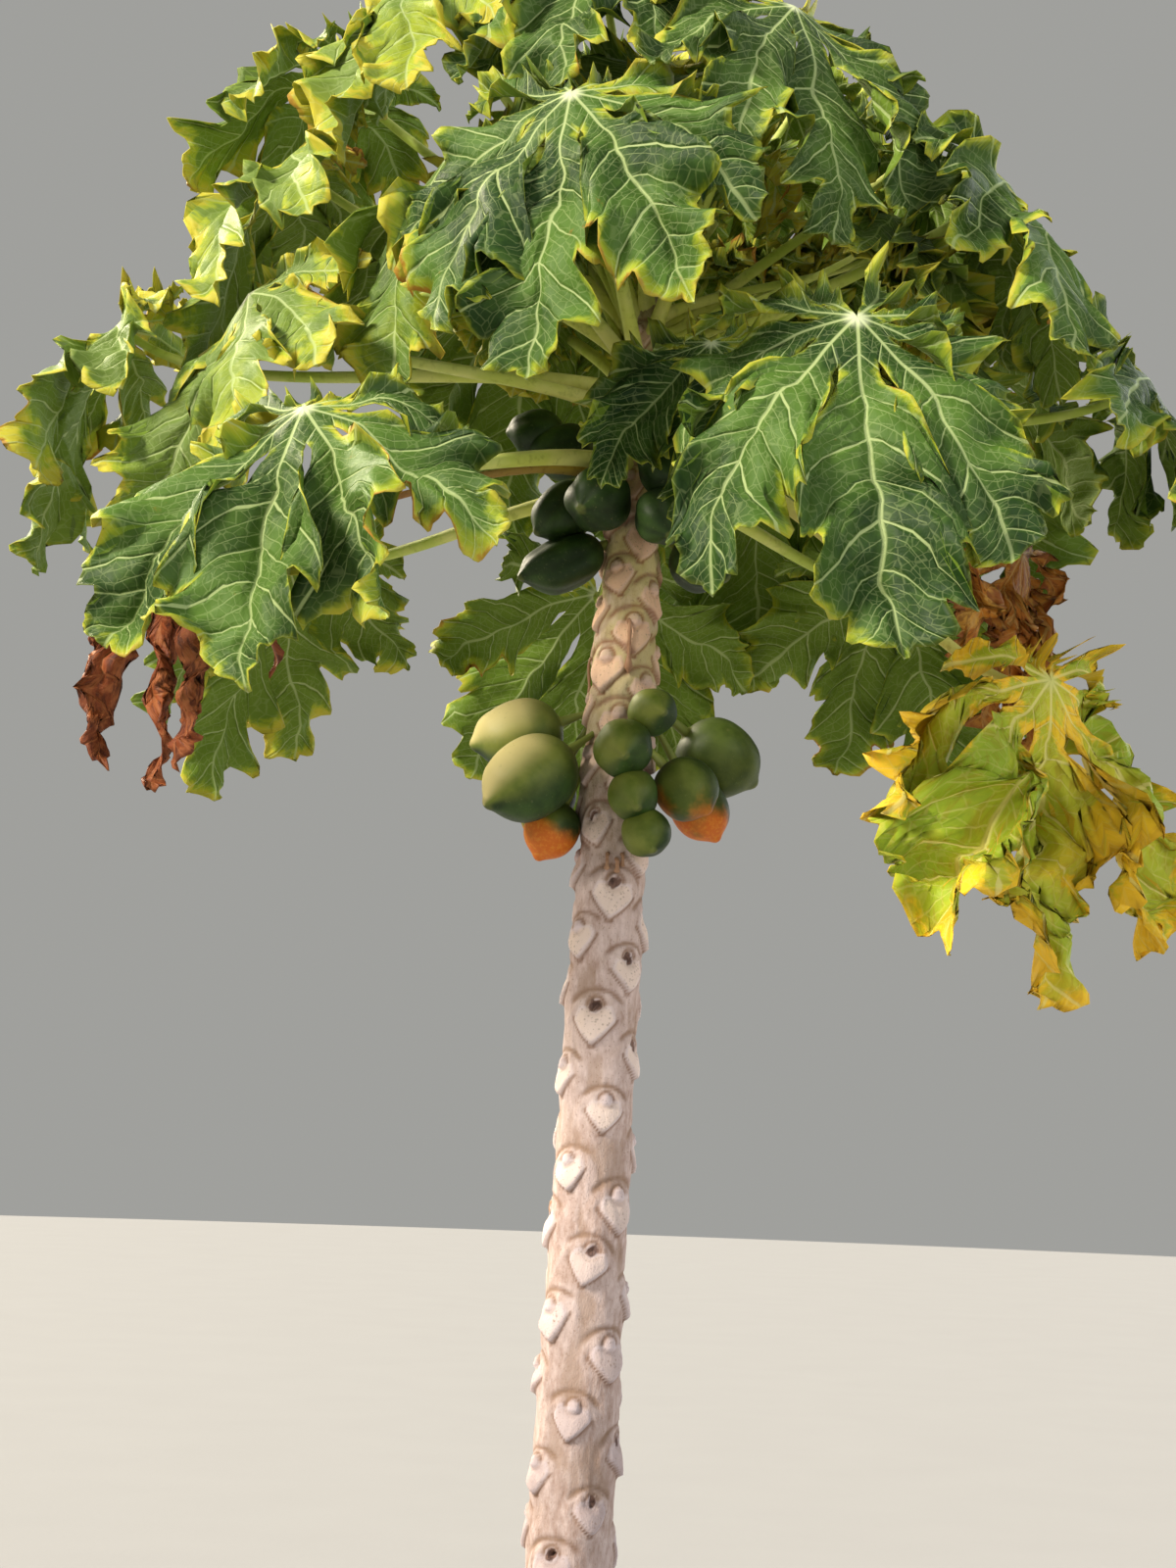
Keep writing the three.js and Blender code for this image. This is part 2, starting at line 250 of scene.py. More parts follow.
trunk = {
    "profile": [
        (0, 0.101), (0.09, 0.084), (0.3, 0.074), (1.0, 0.065), (1.7, 0.0585),
        (2.3, 0.05), (2.5, 0.043), (2.75, 0.036), (2.9, 0.028), (2.96, 0.012),
    ],  # height, radius
    "lean": (0.0185, 0.003),  # slope at the foot, and how it grows
    "sides": 112,
    "ringStep": 0.0038,
    "buttress": 0.005,  # rise of the five at the root
    "wrinkles": [(0.0016, 0.07, 0.5), (0.0007, 0.022, 0.35), (0.0004, 0.009, 0.22)],  # depth, size, upright
    "sunk": 0.0034,  # how far the bark between scars lies inside the mean girth
    "scarred": (0.05, 2.9),  # height of the lowest and the highest scar
    "scarStep": (0.0275, 0.0185),  # climb from one to the next, low down and high up
    "scarHalf": (0.03, 0.0265),  # half of a scar's width and height
    "scarReach": 0.09,  # how far up and down each shapes the bark
    "cushion": 0.0052,
    "plate": 0.004,
    "knob": (0.0112, 0.0058),  # radius and rise of the bud over a scar
    "rotten": 0.26,  # share of the buds that have rotted
    "pit": (0.01, 0.009),  # width and depth of a rotted bud
}


def axisAt(height):
    slope, growth = trunk["lean"]
    return together((slope + growth * height) * height, 0, height)


def trunkRadiusAt(height):
    heights, radii = zip(*trunk["profile"])
    return np.interp(height, heights, radii)


# Where the scars sit: climb, angle, size, lean and whether the bud has rotted
def leafScars():
    chance = np.random.default_rng(7)
    climb, highest = trunk["scarred"]
    step, stepHigh = trunk["scarStep"]
    angle = 250.0
    while climb < highest:
        size = chance.uniform(0.86, 1.1) * (1 - 0.3 * ease(2.3, 2.9, climb))
        size *= 1 + 0.12 * ease(0.7, 0, climb)
        lean, rotten = chance.normal(0, 0.12), chance.random() < trunk["rotten"]
        yield climb, radians(angle % 360), float(size), lean, rotten
        climb += (step + ease(1.55, 2.3, climb) * (stepHigh - step)) * chance.uniform(0.9, 1.1)
        angle += spiralTurn + chance.uniform(-4, 4)


def buildTrunk():
    top = trunk["profile"][-1][0]
    heights = np.concatenate([[0, 0, 0], np.arange(0.002, top, trunk["ringStep"]), [top, top + 0.002]])
    shares = np.ones((len(heights), 1))  # how full each ring is: those at both ends close the tube
    shares[:3, 0] = (0.01, 0.5, 1)
    shares[-1] = 0.05
    ring, a = ringGrid(len(heights), trunk["sides"])
    z = heights[ring]
    r = trunkRadiusAt(z)
    spots = together(np.cos(a) * 0.06, np.sin(a) * 0.06, z)
    relief = trunk["buttress"] * np.cos(a * 5 + 1) * np.exp(-z / 0.12) - trunk["sunk"]
    for seed, (depth, size, upright) in enumerate(trunk["wrinkles"], 1):
        relief += depth * ripple(spots * (1, 1, upright), size, seed)
    marks = np.zeros((5, *r.shape))  # plate, rim, knob, rot and painted shade in the grooves
    halfWide, halfTall = trunk["scarHalf"]
    knobRadius, knobRise = trunk["knob"]
    pitWidth, pitDepth = trunk["pit"]
    for climb, angle, size, lean, rotten in leafScars():
        near = np.abs(heights - climb) < trunk["scarReach"]
        up = (z[near] - climb) / size
        out = ((a[near] - angle + math.pi) % (2 * math.pi) - math.pi) * trunkRadiusAt(climb) / size
        side, rise = out + lean * up, up - lean * out
        share = np.clip(rise / halfTall, -1, 1)
        width = halfWide * np.clip((share + 1) / 1.25, 0, 1) ** 0.85
        width *= 1 - 0.35 * np.clip(share - 0.45, 0, 1)
        edge = np.minimum(width - np.abs(side), halfTall * 0.98 - np.abs(rise))
        inside = ease(-0.0034, 0.0028, edge)
        rim = bump(edge, 0.0014, 0.0026) * (np.abs(share) < 0.999)
        fold = bump(side, 0, 0.036) * bump(rise, -0.004, 0.031)
        arch = bump(np.hypot(side / 1.25, rise + 0.002), 0.037, 0.0055) * ease(-0.012, 0.012, rise)
        fromKnob = np.hypot(side, rise - halfTall * 1.02)
        knob = np.sqrt(np.clip(1 - (fromKnob / knobRadius) ** 2, 0, 1))
        moat = bump(fromKnob, knobRadius * 1.2, 0.0028)
        lift = trunk["cushion"] * fold + inside * trunk["plate"] * (1.15 - 0.95 * share)
        above = rise - halfTall * 0.8
        brow = bump(np.hypot(side / 1.5, above), 0.029, 0.0034) * ease(0.004, 0.016, above)
        lift += 0.0011 * rim + knob * knobRise - 0.0018 * moat * (1 - knob) + 0.0022 * arch - 0.0022 * brow
        pit = np.zeros_like(side)
        if rotten:
            pit = bump(fromKnob, 0, pitWidth) * (1 + 0.5 * ripple(spots[near], 0.012, 5))
            lift -= pitDepth * pit + knob * knobRise * 0.7
        relief[near] += lift * (1 - 0.45 * ease(0.8, 0.1, climb))  # the lowest are worn down
        # Painted shade: dark in the groove round the bud, in the groove above the scar and just outside the
        # lower part of the plate
        dark = moat * (1 - 0.75 * inside) + brow * 0.9 + bump(edge, -0.0042, 0.0026) * (share < 0.4)
        marks[:, near] = np.maximum(marks[:, near], [inside, rim, ease(0.1, 0.5, knob), pit, dark])
    fullness = np.clip(shares - 0.5, 0, 0.5) * 2 * np.clip(r / 0.03, 0.2, 1)
    r = (r + relief * fullness) * shares
    corners = together(r * np.cos(a), r * np.sin(a), z) + axisAt(z) * (1, 1, 0)
    scars = together(*marks[:3])
    bark = together(*np.clip(marks[3:], 0, 1), relief * 100)
    part = (corners, *tubeFaces(len(heights), trunk["sides"], columns=3), scars, bark)
    material = newMaterial("bark", paintBark, bumpDepth=0.003, specular=0.18)
    makePiece("trunkBark", [part], ("scar", "bark"), material, "bark", ["trunk"])


barkLook = {  # a pair is for the old bark and for the green top of the trunk
    "dark": (0.36, 0.262, 0.215), "light": (0.45, 0.355, 0.31), "bloom": (0.58, 0.478, 0.43),
    "crack": (0.22, 0.135, 0.09), "young": (0.4, 0.345, 0.095), "foot": (0.235, 0.174, 0.148),
    "scar": (0.41, 0.325, 0.3), "scarLight": (0.5, 0.42, 0.4), "scarSunlit": (0.66, 0.54, 0.44),
    "scarYoung": (0.622, 0.382, 0.224), "dot": (0.26, 0.19, 0.14), "sunk": (0.25, 0.165, 0.105),
    "rim": ((0.52, 0.45, 0.45), (0.494, 0.341, 0.238)), "knob": ((0.49, 0.415, 0.405), (0.465, 0.295, 0.195)),
    "grooveShade": ((0.16, 0.085, 0.045), (0.17, 0.06, 0.025)), "speck": (0.2, 0.13, 0.085),
    "rot": (0.045, 0.018, 0.012), "rotLight": (0.17, 0.09, 0.065), "cast": (0.93, 0.925, 0.99),
}


def paintBark(spot, fact):
    look = barkLook
    plate, rim, knob = fact("scar").parts()
    rot, grooveShade, lift = fact("bark").parts()
    height = spot.parts()[2]
    broad = spot.noise(9)
    fine = spot.noise(90, 4, 0.65, (1, 1, 0.4))
    grain = spot.noise(420, 2, 0.6, (1, 1, 0.5))
    young = height.ease(1.95, 2.45)
    mottle = broad.ease(0.3, 0.7)
    colour = tinted(
        look["dark"], look,
        (broad.ease(0.35, 0.68), "light"),
        (fine.ease(0.42, 0.7) * 0.6, "bloom"),
        (fine.ease(0.46, 0.26) * 0.6, "crack"),
        (young * broad.ease(0.28, 0.55) * 0.75, "young"),
        (height.ease(0.55, 0.0) * 0.5 * mottle, "foot"),
    )
    pale = tinted(
        look["scar"], look,
        (mottle, "scarLight"),
        # Painted sunlight: the plates are painted paler and warmer from 1.1 m to 1.8 m up
        (height.ease(1.1, 1.8) * 0.8, "scarSunlit"),
        (young * 0.85, "scarYoung"),
    )
    colour = blend(plate * (0.92 - 0.3 * fine.ease(0.5, 0.7)), colour, pale)
    dots = spot.cells(150, "F1").ease(0.36, 0.14) * plate * spot.noise(40).ease(0.47, 0.6)
    colour = blend(dots * 0.6, colour, look["dot"])
    colour = blend(rim * 0.6, colour, blend(young * 0.8, *look["rim"]))
    colour = blend(knob * 0.65, colour, blend(young * 0.7, *look["knob"]))
    # Painted shade in the grooves round each scar and under its plate
    colour = blend(grooveShade * 0.85, colour, blend(young, *look["grooveShade"]))
    # Painted shade: the lower the bark lies in its relief, the darker brown it is painted
    colour = blend(lift.ease(-0.22, -0.48) * 0.5, colour, look["sunk"])
    # Painted sunlight: from 0.9 m to 1.9 m up the bark is painted up to 38% brighter, besides the cast tint
    colour = colour * look["cast"] * (height.ease(0.9, 1.9) * 0.38 + 1)
    rotted = blend(fine.ease(0.4, 0.6), look["rot"], look["rotLight"])
    colour = blend(rot.ease(0.25, 0.55) * 0.9, colour, rotted)
    colour = blend(spot.noise(230, 2).ease(0.62, 0.7) * 0.4, colour, look["speck"])
    return colour, 0.78 + 0.18 * fine, fine * 0.5 + grain * 0.35 + broad * 0.3


# Leaves, oldest first: azimuth of the limb, distance and height of the hub, height where the limb leaves
# the trunk, length of the middle lobe, tilt below the level, turn about the vertical and droop
leafRows = [
    (-148, 0.79, 2.43, 2.632, 0.39, 82, 26, 7),
    (2, 0.615, 2.55, 2.676, 0.37, 82, -40, 6),
    (-23, 0.655, 2.29, 2.65, 0.48, 76, -36, 3),
    (-133, 0.685, 2.58, 2.66, 0.48, 46, 20, 1.4),
    (-63, 0.615, 2.72, 2.715, 0.51, 56, -24, 1.3),
    (150, 0.69, 2.61, 2.625, 0.46, 48, 0, 1.4),
    (46, 0.7, 2.64, 2.64, 0.46, 48, 0, 1.4),
    (95, 0.66, 2.62, 2.66, 0.47, 48, 0, 1.4),
    (174, 0.86, 2.9, 2.78, 0.45, 50, 10, 1.4),
    (-4, 0.8, 2.82, 2.71, 0.45, 52, -10, 1.3),
    (-169, 0.625, 2.885, 2.742, 0.43, 52, 20, 1.3),
    (-72, 0.31, 2.768, 2.765, 0.32, 52, -24, 1.3),
    (25, 0.65, 2.935, 2.74, 0.43, 50, 0, 1.3),
    (70, 0.62, 2.89, 2.73, 0.46, 46, 0, 1.4),
    (110, 0.56, 3.14, 2.756, 0.46, 44, 0, 1.4),
    (-104, 0.495, 3.06, 2.79, 0.45, 56, -6, 1.2),
    (-20, 0.585, 3.07, 2.785, 0.45, 50, 6, 1.4),
    (-146, 0.37, 3.085, 2.8, 0.43, 48, 0, 1.3),
    (174, 0.59, 3.19, 2.826, 0.43, 42, 12, 1.4),
    (9, 0.445, 3.24, 2.83, 0.39, 44, -12, 1.4),
    (-60, 0.405, 3.27, 2.845, 0.42, 48, 0, 1.3),
    (155, 0.61, 3.45, 2.86, 0.42, 38, 0, 1.4),
    (52, 0.43, 3.44, 2.872, 0.4, 34, 0, 1.4),
    (-112, 0.24, 3.42, 2.91, 0.38, 32, 0, 1.4),
    (-166, 0.39, 3.44, 2.88, 0.38, 42, 16, 1.3),
    (100, 0.26, 3.43, 2.91, 0.4, 30, 0, 1.4),
]
leafColumns = ("azimuth", "out", "height", "root", "lobe", "tilt", "turn", "droop")
oldLeaves = {1: "dead", 2: "withered", 3: "yellow"}  # all others are fresh

# Smaller leaves by the same spiral, with the first value of a column and how fast it grows
youngLeaves = {  # they stand up in the heart of the crown
    "count": 9, "first": 41, "azimuth": (30, spiralTurn), "out": (0.035, 0.021), "height": (3.03, 0.034),
    "root": (2.956, -0.005), "lobe": (0.075, 0.019), "tilt": (6, 3), "turn": 10, "droop": 0.5,
}
innerLeaves = {  # they fill the crown, but for an open sector at the front where the limbs show
    "count": 37, "first": 61, "azimuth": (-150, spiralTurn), "out": (0.14, 0.44), "height": (3.36, -0.8),
    "root": (2.91, -0.005), "lobe": (0.27, 0.07), "tilt": (24, 44), "droop": 1.3, "open": (-160, -35),
}

crown = {
    "centre": 0.072,  # where the hubs are measured from, along +X
    "cone": 0.25,  # how far the lobes slope back from the hub at once
    "bendSteps": 10,
    "unevenDroop": 0.3,
}

limb = {
    "radii": (0.014, 0.0065),  # at the trunk and at the blade
    "usualLobe": 0.45,  # of a leaf whose limb has these radii
    "arch": 11,  # degrees that it starts above the straight way to its hub
    "leaving": {"dead": 14, "withered": 33, "yellow": 28},  # the same above the level for old leaves
    "shrunk": {"dead": 0.62, "withered": 0.8},
    "grid": (36, 16),  # rings and sides
    "smallGrid": (24, 12),
    "flare": 0.5,
}


def grown(look, key, steps):
    first, step = look[key]
    return first + step * steps


def youngRow(order):
    steady = [grown(youngLeaves, key, order) for key in leafColumns[:6]]
    return *steady, youngLeaves["turn"], youngLeaves["droop"]


def innerRow(order):
    azimuth, root = (grown(innerLeaves, key, order) for key in ("azimuth", "root"))
    out = grown(innerLeaves, "out", 0.618 * order % 1)
    lobe = grown(innerLeaves, "lobe", 0.37 * order % 1)
    height, tilt = (grown(innerLeaves, key, out) for key in ("height", "tilt"))
    return azimuth, out, height, root, lobe, tilt, 0, innerLeaves["droop"]


def placeLeaf(number, row):
    leaf = SimpleNamespace(**dict(zip(leafColumns, row)), number=number, label=f"{number:02d}")
    leaf.state = oldLeaves.get(number, "fresh")
    leaf.small = number >= youngLeaves["first"]
    leaf.hub = wayOut(leaf.azimuth) * leaf.out + (crown["centre"], 0, leaf.height)
    # Columns: along the middle lobe, across it and out of the top
    leaf.frame = tipped(leaf.azimuth + leaf.turn, leaf.tilt)
    leaf.down = -leaf.frame[2]
    leaf.face = leaf.frame[:, 2]
    return leaf


def allLeaves():
    rows = dict(enumerate(leafRows, 1))
    for order in range(youngLeaves["count"]):
        rows[youngLeaves["first"] + order] = youngRow(order)
    low, high = innerLeaves["open"]
    for order in range(innerLeaves["count"]):
        row = innerRow(order)
        if not low < (row[0] + 180) % 360 - 180 < high:
            rows[innerLeaves["first"] + order] = row
    return [placeLeaf(number, row) for number, row in rows.items()]


# Way out at an azimuth and a slope in degrees
def wayOut(azimuth, slope=0):
    azimuth, slope = radians(azimuth), radians(slope)
    level = math.cos(slope)
    return np.array([math.cos(azimuth) * level, math.sin(azimuth) * level, math.sin(slope)])


# Turn that tips +Z over towards an azimuth, both in degrees
def tipped(azimuth, tilt):
    return np.array(Matrix.Rotation(radians(azimuth), 3, "Z") @ Matrix.Rotation(radians(tilt), 3, "Y"))


def bezier(points, shares):
    t = shares[:, None]
    a, b, c, d = points
    spot = a * (1 - t) ** 3 + 3 * b * t * (1 - t) ** 2 + 3 * c * t * t * (1 - t) + d * t**3
    way = 3 * (b - a) * (1 - t) ** 2 + 6 * (c - b) * t * (1 - t) + 3 * (d - c) * t * t
    return spot, unit(way)


# The middle line of a limb from inside the trunk to the underside of its blade
def limbLine(leaf, shares):
    start = axisAt(leaf.root)
    end = leaf.hub - leaf.face * 0.0016
    span = end - start
    third = np.linalg.norm(span) / 3
    slope = math.degrees(math.atan2(span[2], math.hypot(span[0], span[1])))
    leaving = wayOut(leaf.azimuth, limb["leaving"].get(leaf.state, slope + limb["arch"]))
    return bezier([start, start + leaving * third, end - leaf.face * third * 0.8, end], shares)


def buildLimb(leaf):
    thick, thin = limb["radii"]
    rings, sides = limb["smallGrid" if leaf.small else "grid"]
    shares = np.linspace(0, 1, rings) ** 1.12
    spots, ways = limbLine(leaf, shares)
    across = unit(np.cross([0, 0, 1.0], ways))
    rise = np.cross(ways, across)
    along = np.linalg.norm(np.diff(spots, axis=0, prepend=spots[:1]), axis=1).cumsum()
    past = along - trunkRadiusAt(leaf.root)
    radius = (thick + (thin - thick) * shares**0.8) * leaf.lobe / limb["usualLobe"]
    radius *= 1 + (limb["shrunk"].get(leaf.state, 1) - 1) * ease(0, 0.25, shares)
    flare = limb["flare"] * np.exp(-np.maximum(past, 0) / 0.022)
    collar = 0.35 * ease(0.93, 1, shares)
    s, a = ringGrid(rings, sides)
    r = radius[s] * (1 + collar[s]) * (1 + 0.035 * np.cos(5 * a + leaf.number))
    r[-1] *= 0.45
    wide = r * (1 + flare[s] * 0.7)
    tall = r * (1 + flare[s]) * (1 - 0.06 * np.sin(a))
    corners = spots[s] + across[s] * (wide * np.cos(a))[..., None] + rise[s] * (tall * np.sin(a))[..., None]
    if leaf.state in limb["shrunk"]:
        corners += (0.0022 * ripple(corners, 0.03, leaf.number) * ease(0.1, 0.4, shares)[s])[..., None]
    run = together(shares[s], past[s] * 10, np.sin(a))
    part = (corners, *tubeFaces(rings, sides, columns=4), run)
    stands = [] if leaf.small else ["petiole_" + leaf.label]
    makePiece("limb_" + leaf.label, [part], ("run",), limbMaterial(leaf.state), "petiole", stands)


limbColours = {  # base, along the limb, speckle, lit side
    "fresh": ((0.66, 0.68, 0.14), (0.44, 0.56, 0.085), (0.3, 0.36, 0.045), (0.88, 0.82, 0.36)),
    "yellow": ((0.46, 0.46, 0.1), (0.6, 0.56, 0.13), (0.34, 0.28, 0.04), (0.66, 0.58, 0.2)),
    "withered": ((0.42, 0.42, 0.08), (0.5, 0.33, 0.06), (0.2, 0.085, 0.015), (0.6, 0.45, 0.13)),
    "dead": ((0.36, 0.27, 0.06), (0.24, 0.095, 0.025), (0.085, 0.03, 0.012), (0.42, 0.24, 0.1)),
    "dry": ((0.42, 0.23, 0.14), (0.34, 0.18, 0.1), (0.14, 0.06, 0.03), (0.52, 0.34, 0.22)),
}


@lru_cache
def limbMaterial(state):
    base, further, speckle, lit = limbColours[state]

    def paint(spot, fact):
        share, past, up = fact("run").parts()
        cloud = spot.noise(14)
        streak = spot.noise(60, 3, 0.6)
        colour = blend(share.ease(0.05, 0.6), base, further)
        colour = blend(cloud.ease(0.4, 0.7) * 0.4, colour, lit)
        colour = blend(up.ease(0.2, 1) * 0.35, colour, lit)
        colour = blend(streak.ease(0.52, 0.72) * 0.5, colour, speckle)
        colour = blend(past.ease(0.35, 0.0) * 0.35, colour, lit)
        return colour, 0.42 + 0.25 * streak, streak * 0.5 + cloud * 0.4

    return newMaterial("limb " + state, paint, bumpDepth=0.0008, specular=0.3)


# Blade: nine lobes by angle from the middle one, each with its share of the middle one's length
lobeRows = [
    (-150, 0.34, 1), (-118, 0.52, 1), (-81, 0.74, 2), (-41, 0.9, 2), (0, 1, 2),
    (41, 0.9, 2), (81, 0.74, 2), (118, 0.52, 1), (150, 0.34, 1),
]
# Lobes that would meet a neighbour are shorter: leaf, then lobe and share
shortLobes = {
    3: {0: 0.4, 1: 0.6, 7: 0.7, 8: 0.4}, 4: {2: 0.6, 4: 0.95, 5: 0.95},
    5: {2: 0.9, 5: 0.9, 6: 0.72, 7: 0.8}, 12: {5: 0.6}, 17: {4: 0.53, 5: 0.88},
    20: {3: 0.53, 4: 0.88, 5: 0.77}, 21: {3: 0.88}, 25: {3: 0.88},
}

blade = {
    "freeEdge": 18,  # degrees from the midrib of an outermost lobe to the open side of the blade
    "sinus": 0.19,  # how far out the blade stays whole between two lobes
    "joinedRows": 6,  # rows of the grid where it is whole
    # rows of the other part by the kind of lobe, and shares of the way to the margin
    "grid": ({1: 20, 2: 38}, [0, 0.03, 0.09, 0.2, 0.36, 0.54, 0.72, 0.88, 1]),
    "smallGrid": ({1: 9, 2: 15}, [0, 0.08, 0.34, 0.7, 1]),
    "veins": 8,
    "veinJoined": 50,  # degrees between a side vein and the midrib where the blade is whole
    "veinStart": 52,  # the same in a lobe, at the midrib and further out
    "veinEnd": 37,
    "thick": 0.0013,
    "ribDepth": 0.0032,
    # lobules on a lobe: where their vein leaves the midrib, reach along it and half of their span
    "lobules": {
        2: [
            (0.25, 0.18, 0.1), (0.38, 0.41, 0.165), (0.5, 0.23, 0.09),
            (0.61, 0.315, 0.16), (0.8, 0.18, 0.15),
        ],
        1: [(0.33, 0.15, 0.11), (0.48, 0.3, 0.2), (0.72, 0.18, 0.18)],
    },
    "furthestRoll": 2.9,  # radians that a lobe rolls under at most
}

# How the blade lies and wrinkles in each state, from fresh to dead, in metres where it is a length
bladeStates = {
    "width": (1.0, 0.88, 0.7, 0.5),
    "fold": (0.27, 0.42, 0.3, 0.2),
    "roll": (0.16, 0.085, 0.036, 0.018),
    "wave": (0.013, 0.018, 0.014, 0.01),
    "curl": (0.013, 0.02, 0.01, 0.0),
    "pleat": (0, 0, 0.003, 0.0035),
    "quilt": (0.0038, 0.0035, 0.002, 0.001),
    "lift": (0.04, 0.09, 0.05, 0.05),
    "sag": (0.13, 0.05, 0.05, 0.05),
    "twist": (0.27, 0.7, 0.8, 1.0),
    "sway": (0.055, 0.07, 0.06, 0.05),
    "crumple": (  # size and depth of each kind of crease
        [(0.16, 0.009), (0.045, 0.0032)],
        [(0.15, 0.024), (0.055, 0.011), (0.024, 0.0022)],
        [(0.12, 0.016), (0.04, 0.01), (0.02, 0.004)],
        [(0.1, 0.014), (0.034, 0.0048), (0.017, 0.0022)],
    ),
}


# The values of one state from a table of them all
def inState(table, leaf):
    column = ("fresh", "yellow", "withered", "dead").index(leaf.state)
    return {key: values[column] for key, values in table.items()}


# Way that the blade runs at a distance and an angle from its hub
def wayAt(leaf, distance, angle):
    droop = leaf.droop * (1 + crown["unevenDroop"] * np.sin(2 * angle + leaf.number))
    way = together(np.cos(angle), np.sin(angle), -crown["cone"])
    return unit(way + leaf.down * (droop * (distance / leaf.lobe) ** 1.4)[..., None])


def spotAt(leaf, distance, angle):
    steps = crown["bendSteps"]
    parts = [wayAt(leaf, distance * (step + 0.5) / steps, angle) for step in range(steps)]
    return sum(parts) * (distance / steps)[..., None]


# Place, way across and way up of the umbrella that the blade follows
def umbrella(leaf, distance, angle):
    spot = spotAt(leaf, distance, angle)
    way = wayAt(leaf, distance, angle)
    swung = wayAt(leaf, distance * 0.5, angle + 0.01) - wayAt(leaf, distance * 0.5, angle - 0.01)
    swung -= way * (swung * way).sum(-1, keepdims=True)
    across = unit(swung)
    return spot, across, np.cross(way, across)


def lobuleEdge(kind, feet, chance):
    reach = 0.085 * np.clip((1 - feet) / 0.16, 0, 1) ** 0.6
    for foot, far, span in blade["lobules"][kind]:
        foot += chance.uniform(-0.018, 0.018)
        far *= chance.uniform(0.88, 1.06)
        points = [(foot, far, span), (foot - span * 0.46, far * 0.78, span * 0.34)]
        points += [(foot + span * 0.42, far * 0.74, span * 0.32)]
        for middle, tall, half in points:
            share = np.clip(1 - np.abs(feet - middle) / half, 0, 1)
            reach = np.maximum(reach, tall * (0.4 * share**0.5 + 0.6 * np.sqrt(share * (2 - share))))
    reach *= 1 + 0.05 * np.sin(feet * chance.uniform(60, 80) + chance.uniform(0, 6))
    return np.minimum(reach, (1 - feet) * 1.25)


# One half of one lobe as a grid: rows run from the midrib to the margin along the side veins
def halfLobe(leaf, index, side, lengths, chance):
    angle, _, kind = lobeRows[index]
    length = lengths[index]
    beside = index + side
    free = not 0 <= beside < len(lobeRows)
    half = radians(blade["freeEdge"] if free else abs(lobeRows[beside][0] - angle) / 2)
    valley = blade["sinus"] * (length if free else min(length, lengths[beside]))
    joined = blade["joinedRows"]
    rows, columns = blade["smallGrid" if leaf.small else "grid"]
    mean = radians(blade["veinJoined"])
    ray = valley * np.arange(joined + 1) / joined
    rayAlong, rayAside = ray * math.cos(half), ray * math.sin(half)
    firstFeet = rayAlong - rayAside / math.tan(mean)
    feet = np.concatenate([firstFeet, np.linspace(firstFeet[-1], length, rows[kind] + 1)[1:]])
    edge = lobuleEdge(kind, feet / length, chance) * length * inState(bladeStates, leaf)["width"]
    start = rayAside[-1] / math.sin(mean)
    past = ease(0, 0.1, (feet - firstFeet[-1]) / length)
    edge = edge * past + start * (1 - past)
    edge[: joined + 1] = rayAside / math.sin(mean)
    edge[-1] = 0
    fractions = np.array(columns)
    out = edge[:, None] * fractions
    opening = np.radians(blade["veinStart"] - (blade["veinStart"] - blade["veinEnd"]) * out / (0.7 * length))
    opening[: joined + 1] = mean
    x = feet[:, None] + out * np.cos(opening)
    y = out * np.sin(opening)
    return SimpleNamespace(
        x=x, y=y, length=length, angle=radians(angle), side=side, free=free, out=out, share=fractions,
        phase=feet[:, None] / length * blade["veins"], edge=edge[:, None], valley=valley,
    )


# Lays a half lobe on the umbrella near the hub and on its own bent midrib further out
def layHalf(leaf, grid, habit):
    state = inState(bladeStates, leaf)
    x, y, side, length = grid.x, grid.y, grid.side, grid.length
    share, out, phase = grid.share, grid.out, grid.phase
    distance = np.hypot(x, y)
    angle = grid.angle + side * np.arctan2(y, x)
    spot, _, up = umbrella(leaf, distance, angle)
    rib, across, ribUp = umbrella(leaf, x, np.full_like(x, grid.angle))
    own = ease(habit.valley, habit.valley * 2.1, distance)[..., None]
    far = x / length
    rolled = np.minimum(y / state["roll"], blade["furthestRoll"])
    bent = state["roll"] * np.sin(rolled) * side + habit.sway * length * far**2
    lift = habit.fold * y - state["roll"] * (1 - np.cos(rolled))
    curl = np.sin(phase * 1.2 + habit.phase * 2 + 2 * side) + 0.35
    lift += state["curl"] * curl * ease(0.45, 1, share) ** 1.5 * ease(0, 0.22 * length, out) * 1.5
    lift += state["pleat"] * np.sin(y / 0.0045 + 2.5 * np.sin(x * 22 + habit.phase)) * ease(0, 0.012, y)
    waved = np.sin(phase * 2.6 + habit.phase + side) * share**2 * ease(0, 0.3 * length, out)
    lift += state["wave"] * (2 * waved + 0.45 * np.sin(phase * 7.1 + habit.phase * 3) * share**3)
    lift += state["quilt"] * (np.abs(np.sin(math.pi * phase)) - 0.5) * ease(0, 0.02, out) * (1 - share**4)
    lift += habit.lift * length * ease(0.12, 0.5, far) - habit.sag * length * far**2.5
    twist = habit.twist * ease(0.15, 1, far)
    sideways = (bent * np.cos(twist) - lift * np.sin(twist))[..., None]
    upwards = (bent * np.sin(twist) + lift * np.cos(twist))[..., None]
    places = spot * (1 - own) + (rib + across * sideways + ribUp * upwards) * own
    ups = unit(up * (1 - own) + ribUp * own)
    flat = together(distance * np.cos(angle), distance * np.sin(angle), leaf.number * 0.7)
    worn = ease(0.1, 0.35, distance / leaf.lobe)[..., None]
    for size, depth in state["crumple"]:
        seed = 10 * leaf.number + int(size * 1000)
        crease = [ripple(flat, size, seed + axis) for axis in range(3)]
        places = places + together(*crease) * worn * depth
    return places, ups, flat, distance


